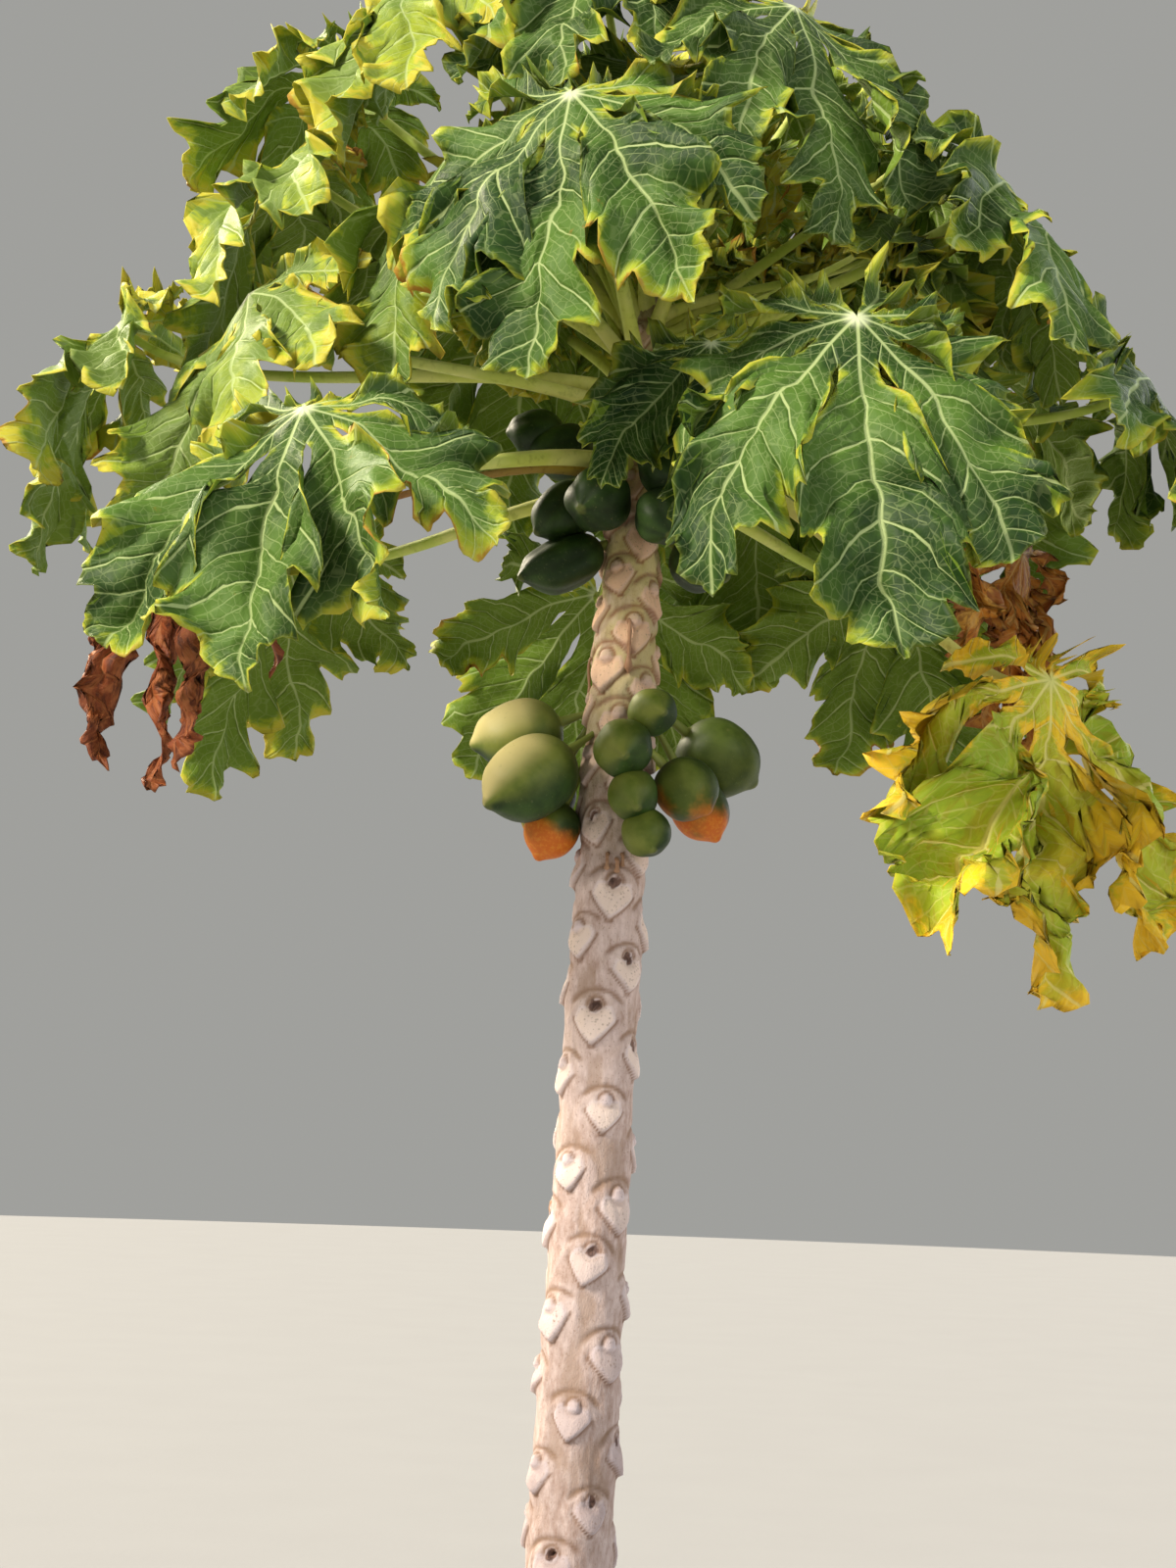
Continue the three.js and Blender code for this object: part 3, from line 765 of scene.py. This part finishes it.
def bladeGrids(leaf):
    cuts = shortLobes.get(leaf.number, {})
    lengths = [leaf.lobe * share * cuts.get(index, 1) for index, (_, share, _) in enumerate(lobeRows)]
    chance = np.random.default_rng(100 + leaf.number)
    state = inState(bladeStates, leaf)
    for index in range(len(lobeRows)):
        halves = [halfLobe(leaf, index, side, lengths, chance) for side in (1, -1)]
        habit = SimpleNamespace(
            valley=max(half.valley for half in halves),
            fold=state["fold"] * chance.choice([0.5, 0.9, 1.3, 2.1]),
            sway=chance.normal(0, state["sway"]),
            sag=chance.uniform(0, state["sag"]),
            twist=chance.normal(0, state["twist"]) * (2.2 if chance.random() < 0.22 else 1),
            phase=chance.uniform(0, 6.3),
            lift=state["lift"] * (1 if index % 2 else -0.6),
        )
        for half in halves:
            yield index, half, layHalf(leaf, half, habit)


# Two triangles for each four-cornered face, cut from its first corner, or the same turned over
def halved(faces, over):
    order = [[0, 3, 2], [0, 2, 1]] if over else [[0, 1, 2], [0, 2, 3]]
    return faces[:, order].reshape(-1, 3, *faces.shape[2:])


# Place in the bake map of a spot on one skin of a lobe, by how far along and across it lies
def bladeTile(number, along, across):
    return (together(0.02 + 0.96 * along, 0.5 + across) + (number % 3, number // 3)) / (3, 6)


# Upper and lower skins of every half lobe, closed along the free margin
def buildBlade(leaf):
    corners, faces, mapping, ribs, place, flats = [], [], [], [], [], []
    count = 0
    for index, grid, (places, ups, flat, distance) in bladeGrids(leaf):
        rows, columns = grid.x.shape
        size = rows * columns
        side, phase, joinedRows = grid.side, grid.phase, blade["joinedRows"]
        nearVein = np.abs(phase - np.round(phase)) * grid.length / blade["veins"]
        rib = bump(grid.y, 0, 0.0045) * (1 - 0.75 * phase / blade["veins"]) * blade["ribDepth"]
        rib = np.maximum(rib, 0.0012 * bump(nearVein, 0, 0.004) * (1 - grid.share))
        top = places + ups * (blade["thick"] / 2)
        low = places - ups * (blade["thick"] / 2 + rib)[..., None]
        gap = grid.edge - grid.out
        gap[:joinedRows] += 0 if grid.free else 0.05
        row, column = np.indices((rows - 1, columns - 1))
        first = row * columns + column
        quad = together(first, first + columns, first + columns + 1, first + 1).reshape(-1, 4)
        along = together(row, row + 1, row + 1, row).reshape(-1, 4) / (rows - 1)
        across = together(column, column, column + 1, column + 1).reshape(-1, 4) / (columns - 1)
        for under, sheet in enumerate((top, low)):
            over = (side < 0) != bool(under)
            corners.append(sheet)
            faces.append(halved(quad, over) + count + under * size)
            mapping.append(halved(bladeTile(index * 2 + under, along, side * across * 0.47), over))
            ribs.append(together(grid.y, phase, grid.out))
            place.append(together(gap, distance / leaf.lobe, under))
            flats.append(flat)
        row = np.arange(0 if grid.free else joinedRows, rows - 1)
        edge = count + (row + 1) * columns - 1
        wall = together(edge, edge + size, edge + size + columns, edge + columns)
        along = together(row, row, row + 1, row + 1) / (rows - 1)
        tile = bladeTile(index * 2, along, side * np.array([0.475, 0.485, 0.485, 0.475]))
        faces.append(halved(wall, side > 0))
        mapping.append(halved(tile, side > 0))
        count += 2 * size
    places = joined(corners) @ leaf.frame.T + leaf.hub
    part = (places, *map(joined, (faces, mapping, ribs, place, flats)))
    slot = "leaf" if leaf.state == "fresh" else "leaf_" + leaf.state
    stands = [] if leaf.small else ["blade_" + leaf.label]
    factNames = ("ribs", "place", "flat")
    makePiece("leaf_" + leaf.label, [part], factNames, leafMaterial(leaf), slot, stands, weld=1e-5)


leafLooks = {  # from fresh to dead
    "deep": ((0.007, 0.032, 0.003), (0.15, 0.27, 0.012), (0.24, 0.065, 0.007), (0.1, 0.02, 0.006)),
    "light": ((0.07, 0.145, 0.018), (0.62, 0.52, 0.035), (0.5, 0.18, 0.018), (0.24, 0.058, 0.015)),
    "lit": ((0.23, 0.33, 0.06), (0.46, 0.54, 0.028), (0.5, 0.18, 0.018), (0.24, 0.058, 0.015)),
    "vein": ((0.44, 0.53, 0.23), (0.74, 0.66, 0.22), (0.52, 0.3, 0.09), (0.32, 0.11, 0.035)),
    "yellowedAndSunlit": ((0.36, 0.42, 0.022), (0.9, 0.56, 0.014), (0.6, 0.33, 0.06), (0.38, 0.13, 0.045)),
    "margin": ((0.5, 0.44, 0.04), (0.86, 0.54, 0.03), (0.22, 0.055, 0.014), (0.12, 0.026, 0.008)),
    "burnt": ((0.36, 0.13, 0.018), (0.3, 0.11, 0.008), (0.12, 0.028, 0.012), (0.045, 0.01, 0.005)),
    "under": ((0.15, 0.24, 0.022), (0.56, 0.36, 0.016), (0.42, 0.16, 0.03), (0.26, 0.08, 0.026)),
    "hub": ((0.66, 0.72, 0.46), (0.6, 0.6, 0.18), (0.45, 0.25, 0.09), (0.3, 0.14, 0.06)),
    "spots": (0.5, 0.9, 1.0, 1.0),
    "wrinkle": (0.0, 0.25, 0.55, 0.75),
}

# How much painted sunlight a fresh leaf gets, a yellow-green glow as if lit through, which also widens its
# yellow margins: more on the sunny side of the crown and at its top
sun = {"least": 0.12, "side": 0.66, "top": 0.18, "stray": (-0.08, 0.1), "innerLeast": 0.65, "others": 0.75}


def sunOn(leaf):
    chance = np.random.default_rng(500 + leaf.number)
    facing = max(0.0, -math.cos(radians(leaf.azimuth)))
    sunny = sun["least"] + sun["side"] * facing**2.6 + sun["top"] * float(ease(2.9, 3.2, leaf.height))
    sunny += float(chance.uniform(*sun["stray"]))
    if leaf.number >= innerLeaves["first"]:
        return max(sunny, sun["innerLeast"])
    return sun["others"] if leaf.small or leaf.state != "fresh" else sunny


def leafMaterial(leaf):
    look = inState(leafLooks, leaf)
    sunny = sunOn(leaf)
    spacing = leaf.lobe / blade["veins"]
    stout = leaf.lobe / limb["usualLobe"]

    def paint(spot, fact):
        across, phase, run = fact("ribs").parts()
        gap, out, under = fact("place").parts()
        flat = fact("flat")
        cloud = flat.noise(5)
        fine = flat.noise(38, 4, 0.6)
        crisp = flat.noise(120, 3, 0.6)
        grooves = (across * (1, 0, 0) + phase * (0, 0.05, 0)).noise(150, 3, 0.6, (1, 0.22, 1))
        vein = phase.fromWhole() * spacing
        rib = across.ease(0.0034 * stout, 0.001 * stout) * (1 - 0.35 * out)
        feeding = abs(phase - 3).atMost(abs(phase - 5)).ease(0.46, 0.34)  # veins of the big lobules
        sideVein = (vein - feeding * 0.0007).ease(0.002 * stout, 0.0005 * stout)
        sideVein = sideVein * run.ease(0.17, 0.0).atLeast(feeding * run.ease(0.3, 0.1))
        thirds = ((phase * 3).fromWhole() * (spacing / 3)).ease(0.0013, 0.0003) * run.ease(0.12, 0.02)
        net = flat.cells(70).ease(0.06, 0.012)
        veins = rib.atLeast(sideVein * 0.85).atLeast(thirds * 0.4).atLeast(net * 0.18)
        halo = across.ease(0.014, 0.002).atLeast(vein.ease(0.007, 0.001) * 0.7)
        # Pale patches: partly the leaf's own paling, partly painted sunlight that spreads further on sunny
        # leaves
        paling = (cloud + fine * 0.3 + out * 0.14).ease(1.02 - 0.4 * sunny, 1.22 - 0.34 * sunny)
        patch = (cloud * 0.8 + fine * 0.45).ease(0.53, 0.76)
        fading = (gap - patch * (0.016 + 0.05 * sunny)).ease(0.008, -0.014)
        margin = (gap - patch * (0.006 + 0.036 * sunny)).ease(0.0015, -0.012)
        burnt = (gap - crisp * 0.014).ease(0.001, -0.004) * cloud.ease(0.6, 0.68)
        blotch = (fine * 0.6 + cloud * 0.4).ease(0.63, 0.69) * look["spots"] * crisp.ease(0.38, 0.6)
        colour = tinted(
            look["deep"], look,
            (cloud.ease(0.38, 0.64), "light"),
            (fine.ease(0.45, 0.75) * 0.4, "light"),
            (halo * 0.3, "light"),
            # Painted sunlight: the lit colour and the pale patches grow with how sunny the leaf is; the
            # yellowed margins are the leaf's own
            (0.7 * sunny * sunny, "lit"),
            (paling * (0.25 + 0.5 * sunny), "yellowedAndSunlit"),
            # The underside's own paler green, painted brighter still as if lit through from behind
            (under * 0.8, "under"),
            (fading * 0.75, "yellowedAndSunlit"),
            (margin * (0.65 + 0.3 * sunny), "margin"),
            # Painted shade: the wrinkle grooves of old leaves are painted in the burnt brown
            (grooves.ease(0.5, 0.38) * look["wrinkle"], "burnt"),
            (veins * 0.8, "vein"),
            (out.ease(0.05, 0.012) * 0.8, "hub"),
            (burnt.atLeast(blotch) * 0.85, "burnt"),
        )
        relief = fine * 0.7 + crisp * 0.25 + grooves * look["wrinkle"] * 1.6 - halo * 0.8 - veins * 0.25
        return colour, 0.48 + 0.24 * fine + 0.14 * under, relief

    return newMaterial("blade " + leaf.label, paint, bumpDepth=0.003, specular=0.22)


# Fruit by the piece it belongs to: azimuth, distance from the trunk's axis and height of the middle, dip of
# the point below the level, length, width and how ripe it is
fruitRows = {
    "fruit_upper_1": [
        (171, 0.128, 2.69, 20, 0.112, 0.092, "green"),
        (168, 0.172, 2.722, 8, 0.096, 0.08, "green"),
    ],
    "fruit_upper_2": [
        (-122, 0.118, 2.578, 35, 0.114, 0.1, "green"),
        (-168, 0.122, 2.576, 45, 0.112, 0.094, "green"),
        (-165, 0.118, 2.492, 30, 0.15, 0.088, "green"),
    ],
    "fruit_upper_3": [
        (-66, 0.108, 2.633, 40, 0.108, 0.09, "green"),
        (-70, 0.116, 2.552, 50, 0.1, 0.086, "green"),
    ],
    "fruit_upper_4": [
        (-4, 0.11, 2.508, 35, 0.104, 0.094, "green"),
        (14, 0.112, 2.592, 40, 0.124, 0.098, "green"),
    ],
    "fruit_lower_1": [
        (178, 0.164, 2.222, 22, 0.15, 0.116, "pale"),
        (-152, 0.16, 2.142, 38, 0.172, 0.124, "pale"),
        (166, 0.122, 2.13, 60, 0.108, 0.092, "turning"),
        (-176, 0.104, 2.076, 66, 0.098, 0.084, "ripe"),
    ],
    "fruit_lower_2": [
        (-88, 0.118, 2.19, 30, 0.094, 0.09, "soft"),
        (-66, 0.116, 2.25, 20, 0.08, 0.074, "soft"),
        (-78, 0.112, 2.12, 40, 0.084, 0.078, "soft"),
        (-66, 0.112, 2.064, 50, 0.08, 0.074, "soft"),
    ],
    "fruit_lower_3": [
        (-30, 0.122, 2.138, 45, 0.108, 0.096, "turning"),
        (3, 0.128, 2.118, 60, 0.106, 0.09, "ripe"),
        (18, 0.168, 2.204, 35, 0.146, 0.126, "soft"),
    ],
}

fruit = {
    "outline": [  # share of the length, share of half the width
        (0, 0.2), (0.02, 0.42), (0.08, 0.66), (0.18, 0.87), (0.3, 0.97), (0.44, 1), (0.58, 0.97),
        (0.72, 0.85), (0.82, 0.66), (0.89, 0.43), (0.925, 0.28), (0.955, 0.2), (0.98, 0.16), (1, 0.05),
    ],
    "stalkRadius": 0.006,
    "grid": (9, 38, 36),  # rings of the stalk and of the body, sides
    "ridges": 0.04,
    "sunward": (-0.8, -0.35, 0.48),  # the side painted paler, as if lit by the sun from the upper left front
    "ripeness": {  # how orange the skin is all over, and how pale its green is
        "green": (-1.0, 0.0),
        "soft": (-1.0, 0.2),
        "pale": (-0.6, 0.4),
        "turning": (0.02, 0.16),
        "ripe": (0.42, 0.2),
    },
}


def buildFruit(name, rows, material):
    parts = []
    chance = np.random.default_rng(sum(map(ord, name)))
    stalkRings, rings, sides = fruit["grid"]
    climb = np.linspace(0, 1, stalkRings)
    flare = 1 + 0.7 * ease(0.5, 1, climb) + 0.5 * ease(0.4, 0, climb)
    body = 0.5 - 0.5 * np.cos(np.linspace(0, math.pi, rings))
    outline = np.pad(np.interp(body, *zip(*fruit["outline"])), 2, "edge")
    bulge = np.convolve(outline, [0.1, 0.2, 0.4, 0.2, 0.1], "valid")  # evens out the corners of the outline
    share = np.concatenate([np.full(stalkRings + 1, -0.2), body, [1]])
    s, a = ringGrid(len(share), sides)
    onBody = np.clip(share[s] * 3, 0, 1)
    for number, (azimuth, out, height, dip, length, width, stage) in enumerate(rows):
        slope = math.tan(radians(dip))
        shoulder = math.hypot(out, out * slope) - length / 2
        start = axisAt(height + out * slope)
        stalk = np.linspace(0.02, max(shoulder - 0.004, 0.022), stalkRings)
        along = np.concatenate([[stalk[0]], stalk, shoulder + body * length, [shoulder + length]])
        radius = np.concatenate([[0.0004], fruit["stalkRadius"] * 0.78 * flare, bulge * width / 2, [0.0001]])
        ridge = np.cos(5 * a + chance.uniform(0, 6))
        ribbed = 1 if stage == "green" else 0.4
        lump = 1 + 0.025 * np.sin(a * 2 + chance.uniform(0, 6)) * onBody
        crease = np.exp(-((np.sin(np.arccos(ridge) / 2 - math.pi / 2) / 0.5) ** 2))
        r = radius[s] * (1 + (ridge * fruit["ridges"] - crease * 0.045) * ribbed * onBody) * lump
        turned = tipped(azimuth, 90 + dip)
        spots = together(r * np.cos(a), r * np.sin(a), along[s]) @ turned.T + start
        beak = 0.15 * length * max(0, 1 - dip / 60)
        spots[..., 2] += beak * ease(0.6, 1.0, share[s])  # the point turns up
        middle = start[2] + (turned @ (0, 0, shoulder + length / 2))[2]
        below = np.clip((middle - spots[..., 2]) / (width / 2), -1, 1)
        mellow, paleness = fruit["ripeness"][stage]
        ripe = mellow + 0.2 * share[s] + 0.42 * below + 0.2 * ripple(spots, 0.07, number)
        sunward = (together(np.cos(a), np.sin(a), 0) @ turned.T) @ fruit["sunward"]
        # Painted sunlight and shade: pale skin is painted paler towards the sun and darker green on the far
        # side
        paleAndSunlit = paleness * (1 + 1.9 * np.clip(sunward, -0.5, 1) * onBody)
        skin = together(share[s], np.clip(ripe, 0, 1), paleAndSunlit)
        furrows = together(crease * ribbed, 0, 0)
        parts.append((spots, *tubeFaces(len(share), sides, 1, number, len(rows)), skin, furrows))
    slot = {"pale": "fruit_pale", "turning": "fruit_ripe"}.get(rows[0][-1], "fruit_green")
    makePiece(name + "_skin", parts, ("skin", "ridge"), material, slot, [name])


skinLook = {
    "deep": ((0.01, 0.03, 0.003), (0.032, 0.072, 0.01)), "pale": ((0.09, 0.13, 0.012), (0.17, 0.2, 0.03)),
    "paleAndSunlit": (0.66, 0.56, 0.24), "furrow": (0.006, 0.014, 0.003),
    "point": (0.16, 0.18, 0.04), "ripe": (0.6, 0.135, 0.01), "ripeLight": (0.72, 0.3, 0.03),
    "corky": (0.22, 0.25, 0.11), "scuffed": (0.24, 0.19, 0.09), "stalk": (0.2, 0.24, 0.05),
}


def paintSkin(spot, fact):
    look = skinLook
    share, ripe, paleness = fact("skin").parts()
    ridge = fact("ridge").parts()[0]
    cloud = spot.noise(22)
    fine = spot.noise(160, 3, 0.6)
    mellow = (ripe + cloud * 1.1).ease(0.8, 1.45)
    scuff = spot.noise(75, 3, 0.7).ease(0.67, 0.75)
    deep = blend(cloud.ease(0.35, 0.68), *look["deep"])
    pale = blend(cloud.ease(0.32, 0.66), *look["pale"])
    # paleness is the skin's own paleness with painted sunlight and shade from its side towards the sun
    colour = tinted(
        blend(paleness.ease(0.0, 0.55), deep, pale), look,
        (paleness.ease(0.5, 1.1), "paleAndSunlit"),
        # Painted shade: dark green in the creases
        (ridge * (0.55 - 0.5 * paleness), "furrow"),
        (share.ease(0.95, 0.99) * 0.45, "point"),
        (mellow * 0.95, "ripe"),
        (mellow * fine.ease(0.42, 0.7) * 0.5, "ripeLight"),
        (fine.ease(0.6, 0.72) * 0.16, "corky"),
        (scuff * 0.4, "scuffed"),
        (share.ease(0.03, -0.05), "stalk"),
    )
    return colour, 0.4 + 0.3 * fine + 0.2 * scuff, fine * 0.4 + cloud * 0.4


dryStalks = {
    "rows": [  # azimuth, height, length, how far they stand out, radius
        (-86, 2.405, 0.085, 0.017, 0.0032),
        (-97, 2.04, 0.026, 0.01, 0.0026),
        (-82, 2.032, 0.022, 0.012, 0.003),
        (-74, 2.04, 0.02, 0.01, 0.0026),
        (60, 1.9, 0.06, 0.012, 0.0022),
        (150, 1.52, 0.05, 0.012, 0.0026),
        (170, 2.36, 0.07, 0.012, 0.0022),
    ],
    "grid": (16, 8),  # rings and sides
    "rooted": 0.004,  # how deep they start in the bark
}


# Old flower stalks that dried on the trunk
def buildDryStalks():
    parts = []
    (rings, sides), rows = dryStalks["grid"], dryStalks["rows"]
    shares = np.linspace(0, 1, rings)
    knot = 1 + 1.1 * bump(shares, 0.93, 0.06) + 0.5 * bump(shares, 0.02, 0.08)
    s, a = ringGrid(rings, sides)
    for number, (azimuth, height, length, out, thick) in enumerate(rows):
        outward = wayOut(azimuth)
        start = axisAt(height) + outward * (trunkRadiusAt(height) - dryStalks["rooted"])
        hang = np.array([0, 0, -length])
        off = outward * out
        points = [start, start + off * 1.6, start + off + hang * 0.4, start + off * 0.7 + hang]
        spots, ways = bezier(points, shares)
        across = unit(np.cross(ways, np.cross(outward, [0, 0, 1.0])))
        rise = np.cross(ways, across)
        radius = thick * knot * (1 + 0.15 * np.sin(shares * 30 + number))
        radius[[0, -1]] = 0.0002
        about = across[s] * np.cos(a)[..., None] + rise[s] * np.sin(a)[..., None]
        corners = spots[s] + about * radius[s][..., None]
        run = together(shares[s], 0.5, np.sin(a))
        parts.append((corners, *tubeFaces(rings, sides, 1, number, len(rows)), run))
    makePiece("dryFlowerStalks", parts, ("run",), limbMaterial("dry"), "bark")


# Studio

view = {
    "place": (0.01, -3.5, 1.6),
    "raised": 9,  # degrees above the level
    "rolled": 2,
    "focal": 2333,  # pixels of a picture 1600 high
    "tall": 1600,
    "lamps": {  # where it shines from, softness in degrees, strength, colour
        "key": ((-3.6, -2.4, 2.7), 14, 5.7, (1.0, 0.92, 0.78)),
        "rim": ((-3.0, 2.6, 2.4), 20, 5.2, (1.0, 0.89, 0.68)),
        "fill": ((3.6, -3.6, 0.9), 40, 1.3, (0.94, 0.97, 1.0)),
        "back": ((3.4, 3.6, 1.7), 40, 1.1, (0.95, 0.97, 1.0)),
    },
    "sky": {"Color": (0.88, 0.88, 0.84, 1), "Strength": 0.4},
    "floor": ((0.28, 0.28, 0.29), (0.3, 0.3, 0.31), 0.9),  # two greys and their roughness
    "floorRadius": 40,
}


def paintFloor(spot, fact):
    grey, lightGrey, rough = view["floor"]
    return blend(spot.noise(1.5), grey, lightGrey), rough, spot.noise(30)


def buildStudio():
    camera = bpy.data.cameras.new("view")
    camera.lens = view["focal"] / view["tall"] * camera.sensor_width
    holder = addObject("view", camera)
    raised, rolled = radians(view["raised"]), radians(view["rolled"])
    turned = Matrix.Rotation(math.pi / 2 + raised, 4, "X") @ Matrix.Rotation(rolled, 4, "Z")
    holder.matrix_world = Matrix.Translation(view["place"]) @ turned
    bpy.context.scene.camera = holder
    bpy.context.scene.view_settings.view_transform = "Standard"
    bpy.ops.mesh.primitive_circle_add(vertices=96, radius=view["floorRadius"], fill_type="NGON")
    floor = bpy.context.object
    floor.name = "floor"
    floor.data.materials.append(newMaterial("floor", paintFloor))
    for name, (way, softness, strength, colour) in view["lamps"].items():
        light = bpy.data.lights.new(name, "SUN")
        light.angle = radians(softness)
        light.energy = strength
        light.color = colour
        lamp = addObject(name, light)
        lamp.rotation_euler = Vector(way).to_track_quat("Z", "Y").to_euler()
    world = bpy.data.worlds.new("studio")
    bpy.context.scene.world = world
    world.use_nodes = True
    for key, value in view["sky"].items():
        world.node_tree.nodes["Background"].inputs[key].default_value = value


buildStudio()
print("studio ready")
buildTrunk()
print("trunk ready")
leaves = allLeaves()
for leaf in leaves:
    buildLimb(leaf)
print("limbs ready")
for leaf in leaves:
    buildBlade(leaf)
print("blades ready")
skin = newMaterial("fruit skin", paintSkin, bumpDepth=0.0007, specular=0.3)
for name, rows in fruitRows.items():
    buildFruit(name, rows, skin)
buildDryStalks()
print("fruit ready")
